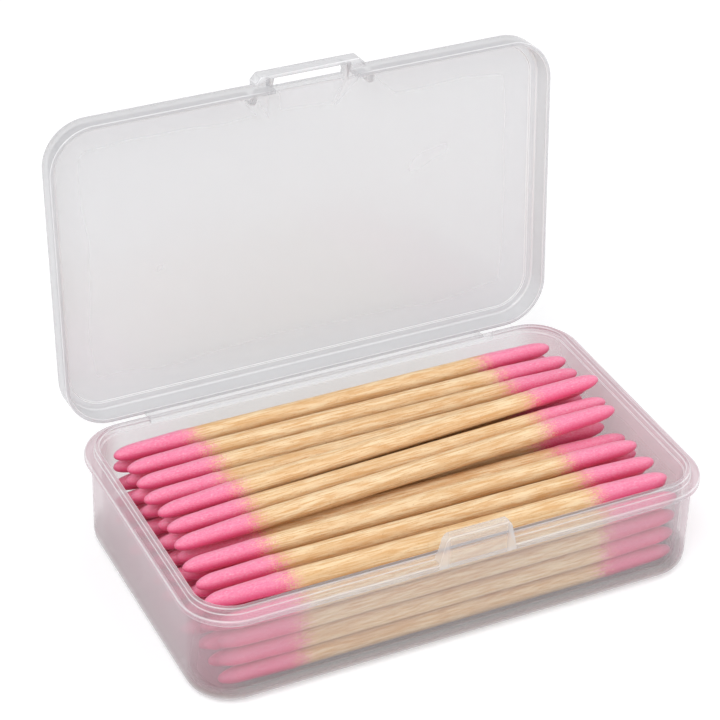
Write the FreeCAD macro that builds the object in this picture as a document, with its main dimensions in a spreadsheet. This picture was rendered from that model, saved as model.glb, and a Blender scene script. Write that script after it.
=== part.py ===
# A clear hinged box filled with double-ended swabs, as a parametric document in millimetres.
# X runs along the box, Y from its front to its hinge, Z up. The origin is the middle of the underside.
import FreeCAD, Part
import Sketcher
import math
import os
import re

Vector = FreeCAD.Vector

doc = FreeCAD.newDocument("SwabBox")

# Driving dimensions

SIZES = {
    "corner_radius": 8.0,
    "rim_height": 16.4,
    "flange_thickness": 1.05,
    "flange_overhang": 1.1,
    "lip_inset": 1.6,
    "lip_height": 1.1,
    "lip_thickness": 0.8,
    "wall_thickness": 1.5,
    "floor_thickness": 1.0,
    "foot_round": 2.1,
    "floor_round": 1.0,
    "catch_offset": 1.2,
    "catch_foot": 13.2,
    "catch_top": 10.8,
    "catch_height": 4.6,
    "catch_chamfer": 0.6,
    "catch_clearance": 0.3,
    "lip_clearance": 0.25,
    "rim_gap": 0.2,
    "skirt_thickness": 0.7,
    "lid_depth": 4.6,
    "panel_thickness": 0.9,
    "panel_band": 1.2,
    "panel_step": 0.35,
    "lid_round": 1.4,
    "latch_length": 18.6,
    "latch_chamfer": 1.0,
    "latch_bar": 0.6,
    "latch_height": 2.5,
    "window_length": 12.2,
    "rib_thickness": 0.7,
    "rib_reach": 3.6,
    "nub_width": 1.3,
    "nub_reach": 2.0,
    "nub_height": 2.0,
    "hinge_length": 59.5,
    "hinge_drop": 1.55,
    "hinge_web": 0.4,
    "hinge_notch_gap": 0.6,
    "opening_angle": 95.0,
    "swab_length": 76.5,
    "stick_diameter": 3.0,
    "tip_diameter": 3.3,
    "tip_length": 13.0,
    "tip_nose": 9.5,
    "tip_core": 7.5,
    "tip_feather": 1.6,
    "end_room": 2.15,
    "side_room": 1.25,
    "front_room": 0.25,
    "swab_clearance": 0.1,
    "swab_pitch": 4.1,
    "swab_row_shift": -0.2,
    "end_scatter": 0.9,
}

LOWER_LAYERS = 4
SWABS_IN_LAYER = 11

# The swabs on top, from back to front: the slot of the left end and of the right end, how many
# rows the right end is raised, and how far the swab is pushed along X as a share of end_scatter.
TOP_SWABS = [
    (0.0, 0.0, 0.0, -0.4),
    (1.0, 1.08, 0.0, 0.3),
    (2.0, 2.0, 0.0, 0.2),
    (3.0, 3.0, 0.0, -0.3),
    (4.0, 3.53, 0.72, 0.3),
    (5.0, 4.25, 0.0, 0.1),
    (6.0, 5.15, 0.3, -0.5),
    (7.15, 7.1, 0.0, -1.2),
    (8.2, 8.25, 0.0, -0.9),
    (9.27, 9.38, 0.0, -1.5),
]

sheet = doc.addObject("Spreadsheet::Sheet", "Dimensions")
for row, (alias, amount) in enumerate(SIZES.items(), start=1):
    sheet.set(f"A{row}", alias)
    sheet.set(f"B{row}", str(amount))
    sheet.setAlias(f"B{row}", alias)
doc.recompute()


def bound(formula):
    """Return the formula with each size written as a reference to its cell."""
    return re.sub(r"[a-z]+(?:_[a-z]+)+", lambda found: "Dimensions." + found.group(0), formula)


def number(formula):
    """Return the present value of a formula of sizes."""
    amount = sheet.evalExpression(bound(formula))
    return float(getattr(amount, "Value", amount))


# Sketches and features


def new_body(label):
    body = doc.addObject("PartDesign::Body", label)
    body.Label = label
    return body


def new_sketch(body, name, plane, offsets):
    """Add a sketch on one of the body's own planes, moved by formulas for its x, y and z."""
    sketch = body.newObject("Sketcher::SketchObject", name)
    origin_plane = [item for item in body.Origin.OriginFeatures if item.Role == plane][0]
    sketch.AttachmentSupport = [(origin_plane, "")]
    sketch.MapMode = "FlatFace"
    for axis, formula in zip("xyz", offsets):
        sketch.setExpression(f"AttachmentOffset.Base.{axis}", bound(formula))
    return sketch


def bind(sketch, kind, references, name, formula):
    """Add a named constraint that follows a formula."""
    index = sketch.addConstraint(Sketcher.Constraint(kind, *references, number(formula)))
    sketch.renameConstraint(index, name)
    sketch.setExpression(f"Constraints.{name}", bound(formula))


def rounded_rectangle(sketch, length, width, radius):
    """Draw a rectangle with round corners about the sketch's origin."""
    half_x = number(length) / 2
    half_y = number(width) / 2
    round_ = number(radius)
    in_x = half_x - round_
    in_y = half_y - round_
    corners = [(in_x, in_y), (-in_x, in_y), (-in_x, -in_y), (in_x, -in_y)]
    sides = [
        ((in_x, half_y), (-in_x, half_y)),
        ((-half_x, in_y), (-half_x, -in_y)),
        ((-in_x, -half_y), (in_x, -half_y)),
        ((half_x, -in_y), (half_x, in_y)),
    ]
    for quarter, (x, y) in enumerate(corners):
        circle = Part.Circle(Vector(x, y, 0), Vector(0, 0, 1), round_)
        start = quarter * math.pi / 2
        sketch.addGeometry(Part.ArcOfCircle(circle, start, start + math.pi / 2))
    for start, end in sides:
        sketch.addGeometry(Part.LineSegment(Vector(*start, 0), Vector(*end, 0)))
    for quarter in range(4):
        side = 4 + quarter
        following = (quarter + 1) % 4
        sketch.addConstraint(Sketcher.Constraint("Tangent", quarter, 2, side, 1))
        sketch.addConstraint(Sketcher.Constraint("Tangent", side, 2, following, 1))
    for side in (4, 6):
        sketch.addConstraint(Sketcher.Constraint("Horizontal", side))
    for side in (5, 7):
        sketch.addConstraint(Sketcher.Constraint("Vertical", side))
    for quarter in (1, 2, 3):
        sketch.addConstraint(Sketcher.Constraint("Equal", 0, quarter))
    sketch.addConstraint(Sketcher.Constraint("Symmetric", 0, 3, 2, 3, -1, 1))
    bind(sketch, "Radius", (0,), "radius", radius)
    bind(sketch, "DistanceX", (5, 1, 7, 2), "length", length)
    bind(sketch, "DistanceY", (6, 1, 4, 1), "width", width)


def polygon(sketch, points):
    """Draw a closed outline through points given as pairs of formulas."""
    places = [Vector(number(x), number(y), 0) for x, y in points]
    count = len(points)
    for index in range(count):
        sketch.addGeometry(Part.LineSegment(places[index], places[(index + 1) % count]))
    for index in range(count):
        sketch.addConstraint(Sketcher.Constraint("Coincident", index, 2, (index + 1) % count, 1))
    for index, (x, y) in enumerate(points):
        bind(sketch, "DistanceX", (-1, 1, index, 1), f"across_{index}", x)
        bind(sketch, "DistanceY", (-1, 1, index, 1), f"up_{index}", y)


def pad(body, name, sketch, length):
    feature = body.newObject("PartDesign::Pad", name)
    feature.Profile = sketch
    feature.setExpression("Length", bound(length))
    doc.recompute()
    return feature


def pocket(body, name, sketch, length, against_normal=True):
    """Cut the sketch out of the body, and stop the build if nothing was cut."""
    before = body.Shape.Volume
    feature = body.newObject("PartDesign::Pocket", name)
    feature.Profile = sketch
    feature.Reversed = not against_normal
    feature.setExpression("Length", bound(length))
    doc.recompute()
    if not body.Shape.Volume < before:
        raise RuntimeError(f"{name} cut nothing")
    return feature


def fillet(body, name, radius, wanted):
    """Round the edges of the body's last feature for which wanted(edge) is true."""
    base = body.Tip
    edges = [f"Edge{index}" for index, edge in enumerate(base.Shape.Edges, start=1) if wanted(edge)]
    feature = body.newObject("PartDesign::Fillet", name)
    feature.Base = (base, edges)
    feature.setExpression("Radius", bound(radius))
    doc.recompute()
    return feature


def lies_at_height(edge, height):
    box = edge.BoundBox
    return abs(box.ZMin - height) < 1e-4 and abs(box.ZMax - height) < 1e-4


# Formulas that several pieces share

SIDE_GROWTH = "wall_thickness + flange_overhang"
BOX_LENGTH = f"(swab_length + 2 * (end_room + {SIDE_GROWTH}))"
SWABS_WIDTH = f"({SWABS_IN_LAYER - 1} * swab_pitch + tip_diameter)"
BOX_WIDTH = f"({SWABS_WIDTH} + 2 * (side_room + {SIDE_GROWTH}))"
LIP_WIDTH = f"({BOX_WIDTH} - 2 * lip_inset)"
LID_WIDTH = f"({LIP_WIDTH} + 2 * (lip_clearance + skirt_thickness))"
HINGE_Y = f"({BOX_WIDTH} / 2)"
HINGE_Z = "(rim_height - hinge_drop)"
LIP_TOP = "(rim_height + lip_height)"


def inset(outline, amount):
    """Return the outline's length, width and radius, drawn in by an amount on every side."""
    length, width, radius = outline
    return f"({length} - 2 * ({amount}))", f"({width} - 2 * ({amount}))", f"({radius} - ({amount}))"


BOX_OUTLINE = (BOX_LENGTH, BOX_WIDTH, "corner_radius")
WALL_OUTLINE = inset(BOX_OUTLINE, "flange_overhang")
LIP_OUTLINE = inset(BOX_OUTLINE, "lip_inset")
LID_OUTLINE = inset(BOX_OUTLINE, "lip_inset - lip_clearance - skirt_thickness")

# Tray: straight walls, a flange round the rim, a lip above it and the catch at the front


def make_tray():
    body = new_body("tray")
    root = "(rim_height - flange_thickness)"
    outside = new_sketch(body, "wall_outline", "XY_Plane", ("0", "0", "0"))
    rounded_rectangle(outside, *WALL_OUTLINE)
    pad(body, "walls", outside, "rim_height")
    fillet(body, "foot_rounding", "foot_round", lambda edge: lies_at_height(edge, 0))

    flange = new_sketch(body, "flange_outline", "XY_Plane", ("0", "0", root))
    rounded_rectangle(flange, *BOX_OUTLINE)
    pad(body, "flange", flange, "flange_thickness")
    lip = new_sketch(body, "lip_outline", "XY_Plane", ("0", "0", root))
    rounded_rectangle(lip, *LIP_OUTLINE)
    pad(body, "lip", lip, f"{LIP_TOP} - {root}")
    catch = new_sketch(body, "catch_outline", "XZ_Plane", ("catch_offset", "0", f"{LIP_WIDTH} / 2"))
    top = "rim_height + catch_height"
    polygon(catch, [
        ("-catch_foot / 2", root),
        ("catch_foot / 2", root),
        ("catch_top / 2", f"{top} - catch_chamfer"),
        ("catch_top / 2 - catch_chamfer", top),
        ("catch_chamfer - catch_top / 2", top),
        ("-catch_top / 2", f"{top} - catch_chamfer"),
    ])
    pad(body, "catch", catch, "lip_inset")

    mouth = new_sketch(body, "mouth_outline", "XY_Plane", ("0", "0", LIP_TOP))
    rounded_rectangle(mouth, *inset(WALL_OUTLINE, "wall_thickness"))
    pocket(body, "cavity", mouth, f"{LIP_TOP} - floor_thickness")
    floor = number("floor_thickness")
    fillet(body, "floor_rounding", "floor_round", lambda edge: lies_at_height(edge, floor))
    lip_inside = new_sketch(body, "lip_inside_outline", "XY_Plane", ("0", "0", "rim_height"))
    rounded_rectangle(lip_inside, *inset(LIP_OUTLINE, "lip_thickness"))
    pocket(body, "lip_inside", lip_inside, "lip_height", against_normal=False)

    notch = new_sketch(body, "hinge_notch_outline", "XY_Plane", ("0", f"{LIP_WIDTH} / 2", "rim_height"))
    half = "(hinge_length / 2 + hinge_notch_gap)"
    polygon(notch, [
        (f"-{half}", "-wall_thickness"),
        (half, "-wall_thickness"),
        (half, "wall_thickness"),
        (f"-{half}", "wall_thickness"),
    ])
    pocket(body, "hinge_notch", notch, "lip_height", against_normal=False)
    return body


# Lid: drawn closed with the hinge line as its origin, then turned open about that line


def make_lid():
    body = new_body("lid")
    rim = f"(rim_height + rim_gap - {HINGE_Z})"
    middle = f"-{HINGE_Y}"
    shell = new_sketch(body, "lid_outline", "XY_Plane", ("0", middle, rim))
    rounded_rectangle(shell, *LID_OUTLINE)
    pad(body, "shell", shell, "lid_depth")
    top = number(f"{rim} + lid_depth")
    fillet(body, "panel_rounding", "lid_round", lambda edge: lies_at_height(edge, top))

    front = f"({HINGE_Y} + {LID_WIDTH} / 2)"
    bar_inside = f"({HINGE_Y} + {BOX_WIDTH} / 2 + catch_clearance)"
    latch_base = f"{rim} + lid_depth - latch_height"
    latch = new_sketch(body, "latch_outline", "XY_Plane", ("catch_offset", "0", latch_base))
    bar_outside = f"({bar_inside} + latch_bar)"
    polygon(latch, [
        ("-latch_length / 2", f"skirt_thickness - {front}"),
        ("-latch_length / 2", f"latch_chamfer - {bar_outside}"),
        ("latch_chamfer - latch_length / 2", f"-{bar_outside}"),
        ("latch_length / 2 - latch_chamfer", f"-{bar_outside}"),
        ("latch_length / 2", f"latch_chamfer - {bar_outside}"),
        ("latch_length / 2", f"skirt_thickness - {front}"),
    ])
    pad(body, "latch", latch, "latch_height")

    inner_band = new_sketch(body, "band_outline", "XY_Plane", ("0", middle, rim))
    rounded_rectangle(inner_band, *inset(LID_OUTLINE, "skirt_thickness"))
    pocket(body, "inside", inner_band, "lid_depth - panel_thickness - panel_step", against_normal=False)
    inner_panel = new_sketch(body, "panel_outline", "XY_Plane", ("0", middle, rim))
    rounded_rectangle(inner_panel, *inset(LID_OUTLINE, "skirt_thickness + panel_band"))
    pocket(body, "panel_recess", inner_panel, "lid_depth - panel_thickness", against_normal=False)

    passage = new_sketch(body, "passage_outline", "XY_Plane", ("catch_offset", "0", rim))
    side = "(catch_foot / 2 + catch_clearance)"
    polygon(passage, [
        (f"-{side}", f"-{bar_inside}"),
        (side, f"-{bar_inside}"),
        (side, f"skirt_thickness + panel_band - {front}"),
        (f"-{side}", f"skirt_thickness + panel_band - {front}"),
    ])
    pocket(body, "passage", passage, "lid_depth - panel_thickness", against_normal=False)
    window = new_sketch(body, "window_outline", "XY_Plane", ("catch_offset", "0", rim))
    behind = f"(lip_inset - {HINGE_Y} - {BOX_WIDTH} / 2 + catch_clearance)"
    polygon(window, [
        ("-window_length / 2", f"-{bar_inside}"),
        ("window_length / 2", f"-{bar_inside}"),
        ("window_length / 2", behind),
        ("-window_length / 2", behind),
    ])
    pocket(body, "window", window, "lid_depth", against_normal=False)

    panel_inside = f"({rim} + lid_depth - panel_thickness)"
    for name, start in (("left", "-window_length / 2 - rib_thickness"), ("right", "window_length / 2")):
        rib = new_sketch(body, f"{name}_rib_outline", "YZ_Plane", ("0", "0", f"catch_offset + {start}"))
        polygon(rib, [
            (f"-{bar_inside} - latch_bar / 2", f"{latch_base}"),
            (f"-{bar_inside}", f"{latch_base}"),
            (f"rib_reach - {bar_inside}", panel_inside),
            (f"rib_reach - {bar_inside}", f"{panel_inside} + panel_thickness / 2"),
            (f"-{bar_inside} - latch_bar / 2", f"{panel_inside} + panel_thickness / 2"),
        ])
        pad(body, f"{name}_rib", rib, "rib_thickness")

    for name, sign in (("left", "-"), ("right", "")):
        nub = new_sketch(body, f"{name}_nub_outline", "XY_Plane",
                         (f"catch_offset + {sign}(latch_length + nub_width) / 2", "0",
                          f"{panel_inside} - nub_height"))
        tip = f"(skirt_thickness + nub_reach - {front})"
        polygon(nub, [
            ("-nub_width / 2", f"skirt_thickness / 2 - {front}"),
            ("nub_width / 2", f"skirt_thickness / 2 - {front}"),
            ("nub_width / 2", f"{tip} - nub_width / 3"),
            ("nub_width / 4", tip),
            ("-nub_width / 4", tip),
            ("-nub_width / 2", f"{tip} - nub_width / 3"),
        ])
        pad(body, f"{name}_nub", nub, "nub_height + panel_thickness / 2")

    body.Placement.Rotation = FreeCAD.Rotation(Vector(1, 0, 0), -number("opening_angle"))
    body.setExpression("Placement.Rotation.Angle", bound("-opening_angle"))
    body.setExpression("Placement.Base.y", bound(HINGE_Y))
    body.setExpression("Placement.Base.z", bound(HINGE_Z))
    doc.recompute()
    return body


# Hinge: a thin web from the flange's back edge to the open lid's rim


def make_hinge():
    body = new_body("living_hinge")
    web = new_sketch(body, "web_section", "YZ_Plane", ("0", "0", "-hinge_length / 2"))
    rim = "(rim_gap + hinge_drop)"
    skirt = f"({HINGE_Y} - {LID_WIDTH} / 2)"
    low = f"({skirt} + (skirt_thickness - hinge_web) / 4)"
    high = f"({low} + hinge_web)"

    def turned(depth):
        y = f"{HINGE_Y} + {rim} * sin(opening_angle * 1deg) - {depth} * cos(opening_angle * 1deg)"
        z = f"{HINGE_Z} + {depth} * sin(opening_angle * 1deg) + {rim} * cos(opening_angle * 1deg)"
        return y, z

    middle = "(rim_height - flange_thickness / 2)"
    polygon(web, [
        (HINGE_Y, f"{middle} - hinge_web / 2"),
        turned(low),
        turned(high),
        (HINGE_Y, f"{middle} + hinge_web / 2"),
    ])
    pad(body, "web", web, "hinge_length")
    return body


# Swabs: a wooden stick with a tip of dyed cotton over each end, drawn along X about the middle


def stick_length():
    return number("swab_length - 2 * tip_core")


def stick_shape():
    """Return the bare stick."""
    radius = number("stick_diameter / 2")
    length = stick_length()
    return Part.makeCylinder(radius, length, Vector(-length / 2, 0, 0), Vector(1, 0, 0))


def tip_shape():
    """Return the tip of the right end: a quarter ellipse nose, a straight wrap and a thin hem."""
    end = number("swab_length / 2")
    radius = number("tip_diameter / 2")
    core = number("stick_diameter / 2")
    nose = number("tip_nose")
    inner = end - number("tip_core")
    hem = end - number("tip_length")
    hem_end = hem + number("tip_feather")
    centre = Vector(end - nose, 0, 0)
    ellipse = Part.Ellipse(Vector(end, 0, 0), Vector(end - nose, radius, 0), centre)
    curve = Part.ArcOfEllipse(ellipse, 0, math.pi / 2)
    corners = [
        Vector(end - nose, radius, 0),
        Vector(hem_end, radius, 0),
        Vector(hem, core, 0),
        Vector(inner, core, 0),
        Vector(inner, 0, 0),
        Vector(end, 0, 0),
    ]
    edges = [curve.toShape()]
    edges += [Part.makeLine(first, last) for first, last in zip(corners, corners[1:])]
    face = Part.Face(Part.Wire(Part.__sortEdges__(edges)))
    return face.revolve(Vector(0, 0, 0), Vector(1, 0, 0), 360)


def tips_shape():
    """Return both tips of one swab."""
    right = tip_shape()
    left = right.copy()
    left.rotate(Vector(0, 0, 0), Vector(0, 0, 1), 180)
    return [left, right]


def row_step():
    """Return the rise from one full layer to the next, where each swab lies right over one below it."""
    return number("tip_diameter + swab_clearance")


def layer_height(layer):
    first = number("floor_thickness + tip_diameter / 2 + swab_clearance")
    return first + layer * row_step()


def lower_y(index):
    """Return the Y of a swab of a full layer, counted from the back; the last one is next to the front wall."""
    front = number(f"{SIDE_GROWTH} + front_room + tip_diameter / 2 - {BOX_WIDTH} / 2")
    return front + (SWABS_IN_LAYER - 1 - index) * number("swab_pitch")


def slot_y(slot):
    """Return the Y of a slot of the top layer, counted from the back."""
    last = len(TOP_SWABS) - 1
    return number("swab_row_shift") + (last / 2 - slot) * number("swab_pitch")


def resting_height(left_slot, right_slot):
    """Return the height of a swab over the last full layer: lower beside a swab, higher across one."""
    front, back = sorted((slot_y(left_slot), slot_y(right_slot)))
    rows = [lower_y(index) for index in range(SWABS_IN_LAYER)]
    aside = min(max(front - row, row - back, 0) for row in rows)
    return layer_height(LOWER_LAYERS - 1) + math.sqrt(row_step() ** 2 - aside ** 2)


def add_shape(label, shapes, placement=None):
    feature = doc.addObject("Part::Feature", label)
    feature.Label = label
    feature.Shape = Part.makeCompound(shapes)
    if placement is not None:
        feature.Placement = placement
    return feature


def make_lower_layer(layer):
    """Return the sticks and the tips of one layer; the swabs' ends lie unevenly, clear of the corners."""
    sticks = []
    tips = []
    for index in range(SWABS_IN_LAYER):
        room = 1 - (2 * index / (SWABS_IN_LAYER - 1) - 1) ** 4
        along = number("end_scatter") * room * math.sin(2.4 * index + 1.7 * layer)
        place = Vector(along, lower_y(index), layer_height(layer))
        sticks.append(stick_shape().translated(place))
        tips += [tip.translated(place) for tip in tips_shape()]
    name = f"layer_{layer + 1}"
    return [add_shape(f"{name}_sticks", sticks), add_shape(f"{name}_tips", tips)]


def make_top_swab(number_from_back, entry):
    """Return the stick and the tips of one swab of the top layer."""
    left_slot, right_slot, raised, pushed = entry
    half = number("swab_length") / 2
    along = pushed * number("end_scatter")
    low = resting_height(left_slot, right_slot)
    left = Vector(-half, slot_y(left_slot), low)
    right = Vector(half, slot_y(right_slot), low + raised * row_step())
    turn = FreeCAD.Rotation(Vector(1, 0, 0), right - left)
    place = FreeCAD.Placement((left + right) * 0.5 + Vector(along, 0, 0), turn)
    name = f"top_swab_{number_from_back:02d}"

    stick = doc.addObject("Part::Cylinder", f"{name}_stick")
    stick.Label = f"{name}_stick"
    stick.setExpression("Radius", bound("stick_diameter / 2"))
    stick.setExpression("Height", bound("swab_length - 2 * tip_core"))
    along_x = FreeCAD.Rotation(Vector(0, 0, 1), Vector(1, 0, 0))
    end = FreeCAD.Placement(Vector(-stick_length() / 2, 0, 0), along_x)
    stick.Placement = place.multiply(end)
    tips = add_shape(f"{name}_tips", tips_shape(), place)
    return [stick, tips]


pieces = [make_tray(), make_lid(), make_hinge()]
for layer in range(LOWER_LAYERS):
    pieces += make_lower_layer(layer)
for position, entry in enumerate(TOP_SWABS, start=1):
    pieces += make_top_swab(position, entry)
doc.recompute()

for item in doc.Objects:
    if "Invalid" in item.State or "Error" in item.State:
        raise RuntimeError(f"{item.Label} failed: {item.State}")
for piece in pieces:
    if piece.Shape.isNull() or not piece.Shape.isValid():
        raise RuntimeError(f"{piece.Label} has no valid shape")

os.makedirs("parts", exist_ok=True)
for piece in pieces:
    piece.Shape.exportStep(f"parts/{piece.Label}.step")
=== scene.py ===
"""The looks of a clear hinged box full of wooden swabs with dyed cotton tips.

Lengths in the tables are millimetres, as on a drawing; meshes are in metres.
X runs along the box, -Y towards the catch, +Y towards the hinge, Z up from the underside.
"""
import math

import bmesh
import bpy
import numpy as np
from mathutils import Matrix, Vector


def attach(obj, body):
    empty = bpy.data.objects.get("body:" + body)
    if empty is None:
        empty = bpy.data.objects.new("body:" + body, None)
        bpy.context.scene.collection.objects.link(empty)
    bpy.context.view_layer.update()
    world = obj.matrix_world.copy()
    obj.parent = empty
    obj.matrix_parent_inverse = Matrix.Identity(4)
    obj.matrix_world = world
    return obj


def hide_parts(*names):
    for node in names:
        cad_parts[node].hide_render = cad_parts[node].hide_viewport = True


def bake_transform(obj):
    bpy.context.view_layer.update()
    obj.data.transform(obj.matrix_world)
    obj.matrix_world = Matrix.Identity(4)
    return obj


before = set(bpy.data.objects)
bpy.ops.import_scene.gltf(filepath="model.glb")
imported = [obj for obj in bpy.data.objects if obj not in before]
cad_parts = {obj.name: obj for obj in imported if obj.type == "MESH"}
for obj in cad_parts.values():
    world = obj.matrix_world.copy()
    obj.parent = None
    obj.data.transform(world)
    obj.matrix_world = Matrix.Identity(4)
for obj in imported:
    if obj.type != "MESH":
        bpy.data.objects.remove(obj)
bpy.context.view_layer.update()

MM = 0.001
X_AXIS = 0
Z_AXIS = 2

# Sizes of the tray

BOX_LENGTH = 86.0
BOX_WIDTH = 52.0
CORNER_RADIUS = 8.0
RIM_HEIGHT = 16.4
FLANGE_THICKNESS = 1.05
FLANGE_OVERHANG = 1.1
LIP_INSET = 1.6
LIP_TOP = 17.5
LIP_THICKNESS = 0.8
WALL_INSET = 2.6
FLOOR_THICKNESS = 1.0
CATCH_MIDDLE = 1.2
CATCH_HALVES = (4.8, 5.4, 6.35)
CATCH_HEIGHTS = (4.6, 4.0, 0.0)
NOTCH_LENGTH = 60.7
NOTCH_LEFT = 0.03
SEAM = 0.02

# Sizes of the web. The thinning is a share of its thickness, and the bend's width and the buried ends are
# shares of its run.

HINGE_LENGTH = 59.5
HINGE_DROP = 1.55
HINGE_WEB = 0.4
WEB_THINNING = 0.45
WEB_BEND = 0.22
WEB_BURIED = 0.08
WEB_STATIONS = 25
WEB_POINTS = 15

# Sizes of the lid, drawn closed

LID_INSET = 0.65
LID_RIM_GAP = 0.2
LID_DEPTH = 4.6
SKIRT_THICKNESS = 0.7
PANEL_THICKNESS = 0.9
PANEL_STEP = 0.35
PANEL_BAND = 1.2
LATCH_LENGTH = 18.6
LATCH_CHAMFER = 1.0
LATCH_HEIGHT = 2.5
LATCH_BAR = 0.6
LATCH_ROOT = 0.4
CATCH_FOOT = 13.2
CATCH_CLEARANCE = 0.3
WINDOW_LENGTH = 12.2
RIB_THICKNESS = 0.7
RIB_REACH = 3.6
RIB_LIFT = 0.1
NUB_WIDTH = 1.3
NUB_REACH = 2.0
NUB_HEIGHT = 2.0
NUB_ROOT = 0.3
OPENING_ANGLE = 95.0

# A small distance that keeps the faces of joined pieces out of one plane, and how far cutters pass the lid

OFF_PLANE = 0.01
CUT_BEYOND = 1

# Radii of the rounded edges

FOOT_ROUND = 2.1
FLANGE_ROUND = 0.3
BAND_ROUND = 0.35
LIP_ROUND = 0.25
SEAM_ROUND = 0.1
FLOOR_ROUND = 1.0
LID_ROUND = 1.4
RIM_ROUND = 0.2
RIM_INNER_ROUND = 0.15
SKIRT_ROOT_ROUND = 0.4
STEP_ROUND = 0.15
STEP_ROOT_ROUND = 0.2
LATCH_ROUND = 0.22
NUB_ROUND = 0.15
BEVEL_STEPS = 3
SHARP_ANGLE = 34

# A rounded edge's points, the largest share of a side that it takes, and the strength of the painted white
# highlight on its points

ROUND_POINTS = 5
ROUND_SHARE = 0.45
TIGHT_ROUND = 0.5
TIGHT_HIGHLIGHT = [0.2, 0.6, 1.0, 0.6, 0.2]
WIDE_HIGHLIGHT = [0.0, 0.35, 0.7, 0.35, 0.0]

# Stations round the outline: inset of the first one along a side, number, and extra ones at catch and notch.
# The flat caps of a carried section start at the cap inset. A side is where the inward direction is straight.

STATION_INSET = 5
LONG_STATIONS = 15
SHORT_STATIONS = 8
CORNER_STATIONS = 14
CATCH_STATIONS = np.array([4.3, 4.65, 4.8, 4.95, 5.2, 5.35, 5.45, 5.65, 5.9, 6.15, 6.3, 6.4, 6.6])
NOTCH_STATIONS = NOTCH_LENGTH / 2 + np.array([-0.15, -0.04, 0.04, 0.15])
CAP_INSET = 7
STRAIGHT = 0.99

# Milkiness of the catch at half lengths from its middle. The points of the tray's profile that carry it run
# from the first number up to the second, which isn't one of them.

MILK_HALVES = (4.6, 5.1, 6.3, 6.6)
CATCH_MILK = (0.4, 0.65, 0.65, 0.0)
BAND_POINTS = (14, 26)

# Sizes and places of the swabs

SWAB_LENGTH = 76.5
STICK_DIAMETER = 3.0
TIP_DIAMETER = 3.3
TIP_LENGTH = 13.0
TIP_NOSE = 3.6
TIP_CORE = 7.5
TIP_FEATHER = 1.6
SWAB_CLEARANCE = 0.1
ROW_STEP = TIP_DIAMETER + SWAB_CLEARANCE
FRONT_ROOM = 0.25
SWAB_PITCH = 4.1
ROW_SHIFT = -0.2
END_SCATTER = 0.9
SCATTER_TURN = 2.4
LAYER_TURN = 1.7
LOWER_LAYERS = 4
SWABS_IN_LAYER = 11

# A swab's surface: the fall of a stick's radius in the tip, the wrap's radius at the end and its growth, how
# far the hem and the tip's inner points lie under the stick's surface, and the inner points past the hem

STICK_FALL = 0.09
WRAP_RADIUS = 1.2
WRAP_GROWTH = 0.03
NOSE_POWER = 2.2
HEM_BURIED = 0.03
INNER_BURIED = (0.3, 0.2)
INNER_PAST = (0.9, 0.3)
INNER_CLOSE = 0.4
STICK_STATIONS = 44
HEM_STATIONS = 6
WRAP_STATIONS = 10
NOSE_STATIONS = 17
STICK_AROUND = 20
TIP_AROUND = 22

# Lumps: height of their waves as a share of the radius, and each wave's turn per mm, turns around and height

STICK_LUMPS = 0.01
TIP_LUMPS = 0.014
WAVES = ((0.55, 2, 1.0), (1.1, -1, 1.0), (1.9, 3, 0.7), (2.7, -2, 0.6), (0.3, 0, 1.0))
SEED_BASE = 1000
OWN_SPACING = 17.3

# Top swabs, back to front: slot of the left and the right end, rows raised at the right, push along X

TOP_SWABS = [
    (0.0, 0.0, 0.0, -0.4),
    (1.0, 1.08, 0.0, 0.3),
    (2.0, 2.0, 0.0, 0.2),
    (3.0, 3.0, 0.0, -0.3),
    (4.0, 3.53, 0.72, 0.3),
    (5.0, 4.25, 0.0, 0.1),
    (6.0, 5.15, 0.3, -0.5),
    (7.15, 7.1, 0.0, -1.2),
    (8.2, 8.25, 0.0, -0.9),
    (9.27, 9.38, 0.0, -1.5),
]

# Scales of a swab's patterns along and across it, per millimetre

FIBRE_SCALES = (0.26, 3.6, 3.6)
GRAIN_SCALES = (2.6, 5.2, 5.2)
SPECK_SCALES = (4.5, 9.0, 9.0)
STREAK_SCALES = (0.06, 0.9, 0.9)

# The dye's edge: how far it wanders with the fibres and with the specks, and its fade from the hem

RAGGED_REACH = 4.0
SPECK_REACH = 9.0
FADE = (-1.6, 1.9)

# Colours as they show on a screen, from 0 to 255

WOOD = (230, 182, 128)
DYED_WOOD = (248, 128, 172)
OWN_SHADE = (238, 192, 136)
COTTON = (252, 120, 162)
COTTON_PAINTED_SHADE = (240, 78, 129)
# Painted shade on the cotton's underside
COTTON_AT_HEM = (246, 206, 160)
# Painted shade on the tray: pink-tinted at its ends, darker at its foot
END_PAINTED_SHADE = (208, 164, 177)
FOOT_PAINTED_SHADE = (160, 139, 137)
# Painted white highlight along the plastic's rounded edges
EDGE_HIGHLIGHT_WHITE = (250, 250, 252)

# Layers over wood and cotton: where the pattern begins and is full, the layer's share, and its colour

PALE_FIBRES = (0.3, 0.66, 1.0, (255, 231, 192))
DARK_STREAKS = (0.45, 0.72, 0.55, (222, 172, 116))
PORES = (0.58, 0.74, 0.3, (176, 116, 62))
COTTON_GRAIN = (0.2, 0.85, 1.0, (255, 164, 193))
COTTON_FIBRES = (0.45, 0.75, 0.3, (255, 182, 206))
COTTON_DOTS = (0.6, 0.76, 0.5, (255, 206, 222))

# The share of a stick's own shade, and the range of the normal's Z over which cotton loses its painted shade
# of deeper pink

OWN_SHARE = 0.3
LIT_FROM_ABOVE = (-0.3, 0.95)

# Roughness of a swab's surface and the depth of its bumps, in metres

WOOD_ROUGHNESS = 0.5
COTTON_ROUGHNESS = 0.36
FIBRE_ROUGHNESS = 0.16
WOOD_BUMP = 0.0001
COTTON_BUMP = 0.00014
BUMP_STRENGTH = 0.6

# Plastic: the power of the facing, the clouds' scale per metre, and what clouds and the painted shade at end
# and foot add in opacity.
# The painted shade at the ends begins and is full at the first and second distance from the wall's inner
# face, and the painted shade at the foot at the first and second height.

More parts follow.
